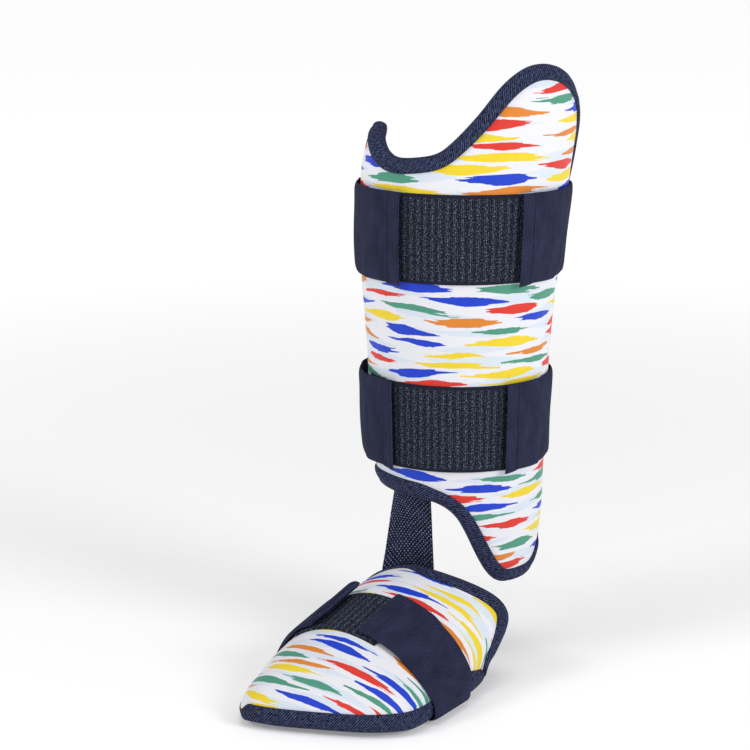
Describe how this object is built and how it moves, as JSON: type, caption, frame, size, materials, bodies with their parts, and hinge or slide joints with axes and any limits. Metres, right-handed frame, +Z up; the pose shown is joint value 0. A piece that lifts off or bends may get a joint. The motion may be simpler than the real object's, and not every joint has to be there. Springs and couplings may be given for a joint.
{
  "type": "batters leg guard",
  "caption": "Padded shin guard with a taller outer wing, joined by webbing to a padded foot guard, each held by wide elastic straps.",
  "frame": {"origin": "on the leg's axis, halfway between the middles of the two shin straps", "axes": "+Z up the leg, the toe along -Y, the wearer's outer side along +X (a left leg)"},
  "size_m": [0.1778, 0.3206, 0.4662],
  "materials": {
    "print_fabric": "smooth laminated cloth printed with brush marks",
    "binding_tape": "twill tape",
    "strap_elastic": "ribbed woven elastic",
    "loop_fabric": "loop pile",
    "hook_fabric": "hook tape",
    "webbing": "coarse woven webbing"
  },
  "bodies": {
    "root": {"shin_shell": "print_fabric", "shin_binding": "binding_tape", "foot_shell": "print_fabric", "foot_binding": "binding_tape", "ankle_webbing": "webbing", "upper_strap": "strap_elastic", "upper_loop_panel": "loop_fabric", "upper_hook_inner": "hook_fabric", "upper_hook_outer": "hook_fabric", "lower_strap": "strap_elastic", "lower_loop_panel": "loop_fabric", "lower_hook_inner": "hook_fabric", "lower_hook_outer": "hook_fabric", "foot_strap": "strap_elastic", "foot_loop_panel": "loop_fabric", "foot_hook_inner": "hook_fabric", "foot_hook_outer": "hook_fabric"}
  },
  "joints": []
}
